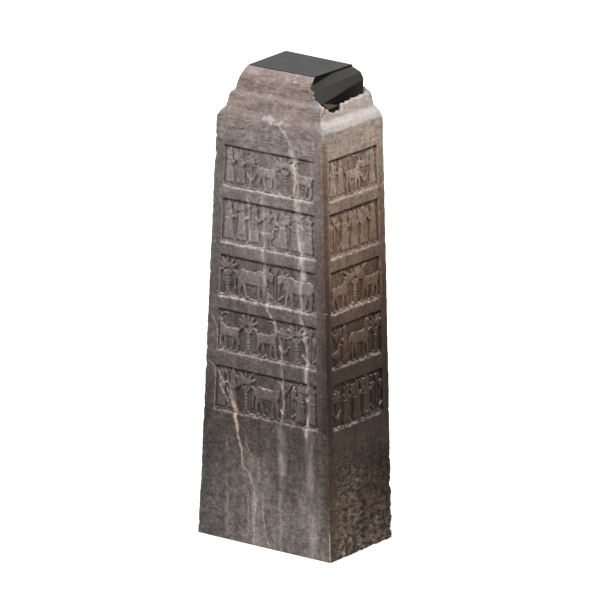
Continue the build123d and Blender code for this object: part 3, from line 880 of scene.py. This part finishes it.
def roughen_foot(tree, at, colour):
    """The rough, dark lower part of the right side, with painted light on its crags and painted shade between
    them; also the height of its crags for the bump.
    """
    rough = product(tree, fade(tree, at.height, 0.54, 0.30), at.side,
                    fade(tree, at.y, -0.215, -0.13, 0.3, 1.0))
    waves = noise(tree, at.point, 0.011, 4.0, 0.55, (1, 0.36, 1))
    lumps = noise(tree, at.point, 0.016, 4.0, 0.60, (1, 0.55, 1))
    crags = between(tree, fade(tree, at.height, 0.30, 0.14), waves, lumps)
    # The colour follows the crags: painted highlights on the lumps, painted shade in the pits
    crag_light_and_shade = between(tree, rough, 1.0, fade(tree, crags, 0.36, 0.64, 0.30, 1.80))
    colour = shade(tree, colour, crag_light_and_shade)
    # The low parts of the crags are painted browner and darker, as painted shade
    colour = darken(tree, product(tree, rough, fade(tree, crags, 0.55, 0.40)), colour, 1.0, 0.86, 0.74)
    return colour, product(tree, crags, rough)


def speckle_and_whiten_sills(tree, at, colour):
    """Dark specks on the lower front, thickest just below the panels, and the pale, broken sills, part lime
    and part painted light where the ledges face up.
    """
    specks = product(tree, fade(tree, noise(tree, at.point, 0.014, 5.0, 0.7), 0.47, 0.38), at.broad,
                     fade(tree, at.height, 0.60, 0.52), fade(tree, at.height, 0.12, 0.46, 0.25, 1.0))
    colour = darken(tree, specks, colour, 0.58, 0.54, 0.52)
    # The pale sills: lime, and painted light where the ledges face up
    step = times_plus(tree, noise(tree, at.point, 0.022, 4.0, 0.6), 0.016, less(tree, at.height, 0.008))
    upper = highest(tree, (near(tree, step, bottom + 0.004, 0.010, 0.004) for _, bottom in PANEL_ROWS[:3]))
    lower = highest(tree, (near(tree, step, bottom + 0.005, 0.007, 0.002) for _, bottom in PANEL_ROWS[3:]))
    lime_and_lit_sill = calc(tree, "MAXIMUM", upper, product(tree, lower, fade(tree, at.side, 0.0, 1.0, 0.55, 0.75)))
    lime_and_lit_sill = product(tree, lime_and_lit_sill, fade(tree, at.corner, 0.040, 0.060),
                   fade(tree, noise(tree, at.point, 0.035, 5.0, 0.7), 0.38, 0.56, 0.14, 0.70),
                   fade(tree, noise(tree, at.point, 0.012, 3.0, 0.6), 0.40, 0.56, 0.25, 1.0))
    return blend(tree, lime_and_lit_sill, colour, paint(176, 165, 157))


def streak_front(tree, at, colour):
    """Lime drips, thin veins, the orange scar and flecks of lime on the front."""
    drawn = use_group(tree, wander_group, {"Point": at.point})
    broken = fade(tree, noise(tree, at.point, 0.040, 5.0, 0.65, (1, 1, 0.35)), 0.34, 0.60, 0.25, 1.0)
    streaks = fade(tree, noise(tree, at.point, 0.007, 3.0, 0.6, (1, 1, 0.12)), 0.36, 0.60, 0.45, 1.0)
    drips = product(tree, lay_all(tree, drawn, FRONT_DRIPS), at.front, broken, streaks)
    colour = blend(tree, drips, colour, paint(196, 183, 176))
    wobble = noise(tree, at.point, 0.010, 3.0, 0.6)
    ragged = {"Height": drawn["Height"],
              "Across": times_plus(tree, wobble, 0.016, less(tree, drawn["Across"], 0.008))}
    veins = product(tree, lay_all(tree, ragged, FRONT_VEINS), at.front,
                    fade(tree, at.patchy, 0.30, 0.60, 0.35, 0.85),
                    fade(tree, noise(tree, at.point, 0.012, 4.0, 0.65), 0.38, 0.55, 0.25, 1.0))
    colour = blend(tree, veins, colour, paint(172, 156, 145))
    scar = product(tree, lay_line(tree, drawn, 0.015, SCAR), at.front, 0.85)
    colour = blend(tree, scar, colour, paint(184, 154, 130))
    flecks = product(tree, fade(tree, noise(tree, at.point, 0.008, 4.0, 0.72, (1, 1, 0.5)), 0.57, 0.67),
                     at.front, fade(tree, at.height, 1.45, 1.10),
                     fade(tree, noise(tree, at.point, 0.05, 4.0, 0.6), 0.42, 0.58), 0.50)
    return blend(tree, flecks, colour, paint(150, 139, 133))


def mark_spots(tree, at, colour):
    """Single marks: a rust spot, pale patches, grey mends, a stained crack and the rubbed corner."""
    rust = product(tree, fade(tree, away(tree, at.point, RUST_SPOT), 0.018, 0.0), 0.6)
    colour = blend(tree, rust, colour, paint(176, 134, 116))
    for middle, radius, strength in PALE_PATCHES:
        gap = vector(tree, "MULTIPLY", vector(tree, "SUBTRACT", at.point, middle), (0.6, 1.0, 2.2))
        gap = plus(tree, vector(tree, "LENGTH", gap, output=1),
                   times_plus(tree, at.patchy, radius * 3.2, radius * -1.5))
        pale = product(tree, fade(tree, gap, radius, radius * 0.2), strength)
        colour = blend(tree, pale, colour, paint(172, 161, 156))
    for middle, radius, strength in MENDS:
        gap = times_plus(tree, at.patchy, 0.030, away(tree, at.point, middle))
        mend = fade(tree, gap, radius + 0.015, radius * 0.6 + 0.013)
        colour = blend(tree, product(tree, mend, strength), colour, paint(124, 126, 128))

    # A brown crack with an orange stain, from the break down to the front corner
    leaning = times_plus(tree, at.height, CRACK_SLOPE, CRACK_FOOT[0] - CRACK_FOOT[1] * CRACK_SLOPE)
    crack = product(tree, near(tree, at.y, leaning, 0.007, 0.002),
                    above(tree, at.x, 0.2),
                    near(tree, at.height, CRACK_FOOT[1] + 0.014, 0.017, 0.013))
    stain = fade(tree, away(tree, at.point, STAIN), 0.026, 0.010)
    colour = blend(tree, product(tree, stain, 0.7), colour, paint(176, 142, 122))
    colour = blend(tree, product(tree, crack, 0.85), colour, paint(74, 52, 42))

    # The front corner is rubbed pale near the ground
    rubbed = product(tree, at.front, fade(tree, at.corner, 0.0045, 0.0015), fade(tree, at.height, 0.14, 0.11))
    rubbed = product(tree, rubbed, fade(tree, at.x, 0.2, 0.3), 0.8)
    return blend(tree, rubbed, colour, paint(190, 176, 164))


def make_stone(name, lines, pits, carved):
    """The limestone, with its drips and veins, its dark jambs, its pale ledges and its tool lines."""
    material, tree, shader = new_material(name)
    at = Spot(tree)
    place = {"Point": at.point, "Height": at.height, "Side": at.side}
    colour = use_group(tree, stone_tone_group, place)["Color"]
    colour = shade_faces(tree, at, colour, carved)
    top_edge_shadow, colour = paint_panel_shade(tree, at, colour)
    # Painted highlights on the frames' edges
    if not carved:
        colour = light_panel_edges(tree, at, colour)
    # The painted shadow below the panels' top edges
    colour = darken(tree, top_edge_shadow, colour, 0.24, 0.22, 0.21)
    # Painted light and shade on the carved forms, with lime on what faces up
    if carved:
        colour = light_and_lime_forms(tree, at, colour)
    colour, tooled = spot_and_score(tree, at, colour)
    colour, crags = roughen_foot(tree, at, colour)
    colour = speckle_and_whiten_sills(tree, at, colour)
    colour = streak_front(tree, at, colour)
    colour = mark_spots(tree, at, colour)
    upright = fade(tree, at.facing["Z"], 0.35, 0.10)
    low = fade(tree, at.height, 0.56, 0.40)
    relief = use_group(tree, relief_group, {
        "Point": at.point, "Height": at.height, "Lines": product(tree, upright, lines),
        "Combing": product(tree, low, fade(tree, at.side, 0.0, 1.0, 0.35, 1.0)),
        "Pits": product(tree, fade(tree, at.height, 0.45, 0.10, 0.15, 1.0), pits),
        "Scratches": tooled, "Wear": 0.5 if carved else 0.25})["Height"]
    relief = times_plus(tree, crags, 0.014, relief)
    bump = {"Height": relief, "Strength": 0.9, "Distance": 1.0}
    finish_material(tree, shader, colour, 0.82, 0.2, bump)
    return material


def make_dark_fill():
    """The smooth charcoal making-good: paler where it faces up, part dust and part painted light from above,
    and painted nearly black where it stands upright, as painted shade.
    """
    material, tree, shader = new_material("dark_fill")
    point = put(tree, "ShaderNodeTexCoord").outputs["Object"]
    apart = split(tree, point)
    facing = split(tree, put(tree, "ShaderNodeNewGeometry").outputs["Normal"])
    # Paler on up-facing surfaces: dust, and painted light from above
    dust_and_top_light = fade(tree, facing["Z"], 0.80, 0.98)
    colour = blend(tree, dust_and_top_light, paint(61, 60, 57), paint(70, 70, 70))

    # Painted black shade under the slab, and from the hip down
    back = calc(tree, "MULTIPLY_ADD", apart["Y"], 1 / FILL_DEPTH, 0.5, clamp=True)
    strip_foot = calc(tree, "MINIMUM", times_plus(tree, back, GAP_RISE, GAP_FRONT), GAP_TOP)
    upright_shade_strip = product(tree, fade(tree, less(tree, apart["Z"], strip_foot), -0.002, 0.001),
                    below(tree, apart["Z"], HEIGHT - 0.0004),
                    above(tree, apart["X"], FILL_START))
    hip = times_plus(tree, back, HIP_RISE, HIP_FRONT)
    under_hip_shade = product(tree, fade(tree, less(tree, apart["Z"], hip), 0.002, -0.002),
                        above(tree, apart["X"], HIP_START))
    black = tones(tree, back, ((0.55, (25, 22, 20)), (0.95, (42, 40, 38))))
    colour = blend(tree, under_hip_shade, colour, black)

    # The small wedge at the foot is lighter where it faces up, partly painted light, with a painted black
    # shadow in the gap on its far side
    wedge = product(tree, above(tree, apart["X"], WEDGE_START), fade(tree, facing["Z"], 0.2, 0.4))
    colour = blend(tree, wedge, colour, paint(71, 69, 66))
    far = fade(tree, times_plus(tree, apart["Y"], 0.171, apart["X"]), 0.2000, 0.2015)
    gap = product(tree, far, wedge, below(tree, apart["Y"], 0.012))
    colour = blend(tree, calc(tree, "MAXIMUM", upright_shade_strip, gap), colour, paint(24, 23, 21))
    tint = fade(tree, noise(tree, point, 0.06, 3.0), 0.3, 0.7, 0.94, 1.06)
    colour = shade(tree, colour, tint)
    bump = {"Height": noise(tree, point, 0.004, 2.0), "Strength": 0.15, "Distance": 0.001}
    finish_material(tree, shader, colour, 0.7, 0.0, bump)
    return material


# Stage, light and camera


def seen_directly(tree):
    """1 where the camera sees a thing, straight or through a reflection, and 0 for its light on others."""
    path = put(tree, "ShaderNodeLightPath").outputs
    mirrored = calc(tree, "MAXIMUM", path["Is Glossy Ray"], path["Is Transmission Ray"])
    return calc(tree, "MAXIMUM", path["Is Camera Ray"], mirrored)


def make_stage():
    """A wide pale floor that keeps a faint shadow."""
    bpy.ops.mesh.primitive_plane_add(size=FLOOR_SIZE, location=(0, 0, -0.0005))
    floor = bpy.context.object
    floor.name = "floor"
    material = bpy.data.materials.new("pale_floor")
    material.use_nodes = True
    tree = material.node_tree
    tree.nodes.clear()
    matt = put(tree, "ShaderNodeBsdfDiffuse", None, {"Color": (0.5, 0.5, 0.5, 1)}).outputs[0]
    glow = put(tree, "ShaderNodeEmission", None,
               {"Color": (1, 1, 1, 1), "Strength": product(tree, seen_directly(tree), 0.55)}).outputs[0]
    both = put(tree, "ShaderNodeAddShader", None, {0: matt, 1: glow}).outputs[0]
    put(tree, "ShaderNodeOutputMaterial", None, {"Surface": both})
    floor.data.materials.append(material)


def make_light():
    """Even daylight from all round, a sun from the front left, one from the right and a faint one behind."""
    world = bpy.data.worlds.new("studio")
    bpy.context.scene.world = world
    world.use_nodes = True
    tree = world.node_tree
    tree.nodes.clear()
    strength = times_plus(tree, seen_directly(tree), 0.35, 0.65)
    sky = put(tree, "ShaderNodeBackground", None, {"Color": (1, 1, 1, 1), "Strength": strength})
    put(tree, "ShaderNodeOutputWorld", None, {"Surface": sky.outputs[0]})
    for name, (azimuth, elevation, power, softness) in SUNS.items():
        bpy.ops.object.light_add(type="SUN")
        lamp = bpy.context.object
        lamp.name = name
        lamp.data.energy = power
        lamp.data.angle = math.radians(softness)
        lamp.rotation_euler = (math.radians(90 - elevation), 0, math.radians(azimuth))


def make_camera():
    """A long lens from the front right, a little above."""
    bpy.ops.object.camera_add()
    camera = bpy.context.object
    camera.name = "camera"
    target = Matrix.Translation((0, 0, HEIGHT / 2))
    turn = Matrix.Rotation(math.radians(CAMERA_AZIMUTH), 4, "Z")
    tilt = Matrix.Rotation(math.pi / 2 - math.radians(CAMERA_ELEVATION), 4, "X")
    back = Matrix.Translation((0, 0, CAMERA_DISTANCE))
    roll = Matrix.Rotation(math.radians(CAMERA_ROLL), 4, "Z")
    camera.matrix_world = target @ turn @ tilt @ back @ roll
    camera.data.sensor_width = 36
    camera.data.lens = CAMERA_LENS
    camera.data.shift_x, camera.data.shift_y = CAMERA_SHIFT
    camera.data.clip_end = 200
    bpy.context.scene.camera = camera


make_camera()
make_light()
make_stage()
bpy.context.scene.view_settings.view_transform = "Standard"

plain_stone = make_stone("dark_limestone", 1.0, 1.0, False)
carved_stone = make_stone("carved_limestone", 0.0, 0.4, True)
dark_fill = make_dark_fill()

for piece in make_body():
    piece.data.materials.append(plain_stone)
    pick(piece)
    bpy.ops.object.shade_smooth_by_angle(angle=SMOOTH_ANGLE)
    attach(piece, "root")
    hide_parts("stone_body")

for side in SIDES:
    for row in range(1, len(PANEL_ROWS) + 1):
        piece = make_carving(side, row)
        piece.data.materials.append(carved_stone)
        pick(piece)
        bpy.ops.object.shade_smooth_by_angle(angle=SMOOTH_ANGLE)
        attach(piece, "root")
        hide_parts(f"carving_{side}_{row}")

for node_name in ("top_slab", "side_fill"):
    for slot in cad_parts[node_name].material_slots:
        slot.material = dark_fill
